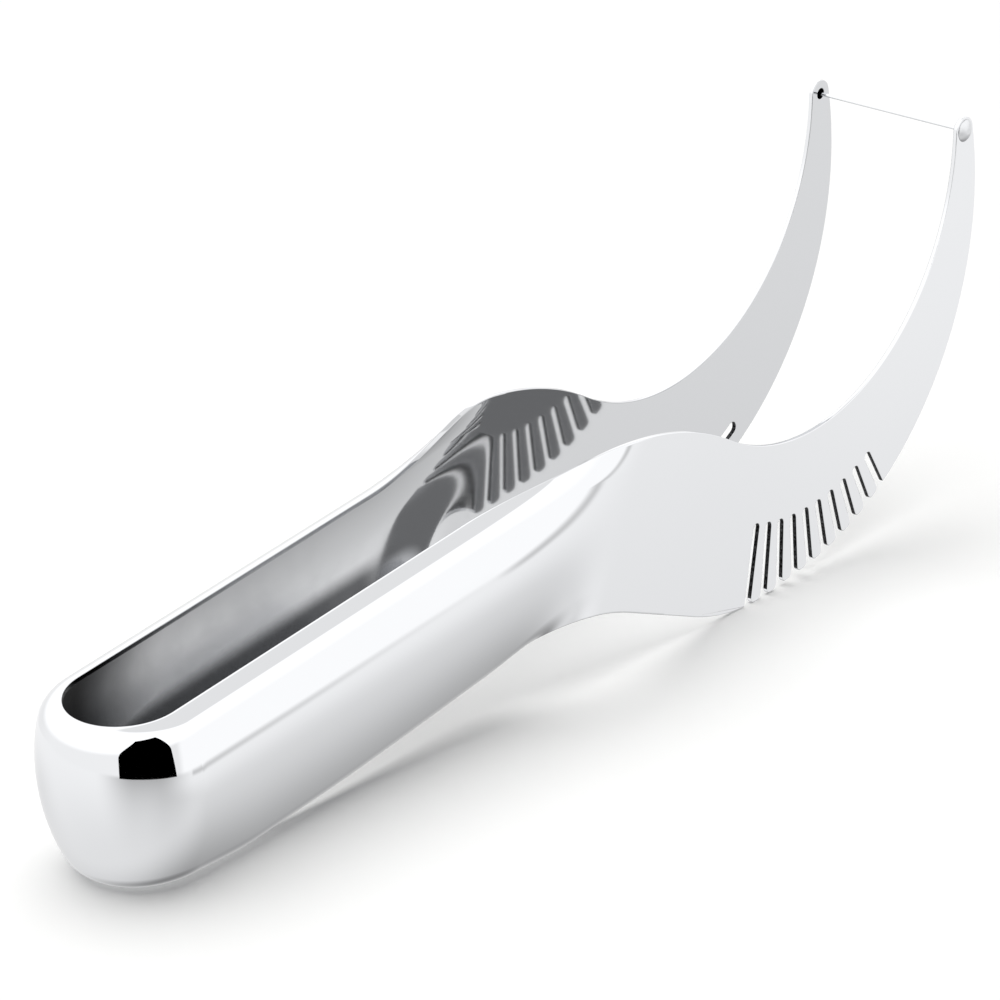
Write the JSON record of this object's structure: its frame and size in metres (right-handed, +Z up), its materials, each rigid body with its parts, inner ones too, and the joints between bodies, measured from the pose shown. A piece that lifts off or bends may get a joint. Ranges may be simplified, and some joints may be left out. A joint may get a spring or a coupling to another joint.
{
  "type": "watermelon cutter",
  "caption": "Polished steel watermelon cutter: a folded strip with a sprung, hollow U-shaped handle, sickle-shaped arms with a comb on one side, and a thin cutting wire between the tips.",
  "frame": {"origin": "middle of the bounding box at the level that the cutter rests on", "axes": "+X from the bow to the tips, +Y from the combed arm to the other arm, +Z up, with the cutter resting on its bow and shoulders"},
  "size_m": [0.205, 0.0314, 0.0671],
  "materials": {
    "polished_strip": "mirror-polished stainless steel sheet",
    "bright_wire": "bright drawn stainless wire",
    "crimped_bead": "crimped bright steel"
  },
  "bodies": {
    "bow": {"spring_bow": "polished_strip"},
    "right_arm": {"right_arm": "polished_strip", "cutting_wire": "bright_wire", "right_wire_bead": "crimped_bead", "left_wire_bead": "crimped_bead"},
    "left_arm": {"left_arm": "polished_strip"}
  },
  "joints": [
    {"name": "right_arm_flex", "type": "hinge", "parent": "bow", "child": "right_arm", "pos_m": [-0.08811, -0.0069, 0.01507], "axis": [-0.1023, 0, 0.9948], "range_deg": [0, 1], "stiffness_Nm_per_rad": 12},
    {"name": "left_arm_flex", "type": "hinge", "parent": "bow", "child": "left_arm", "pos_m": [-0.08811, 0.0069, 0.01507], "axis": [-0.1023, 0, 0.9948], "range_deg": [-1, 0], "stiffness_Nm_per_rad": 12}
  ],
  "couplings": [
    {"joint": "left_arm_flex", "follows": "right_arm_flex", "ratio": -1}
  ]
}
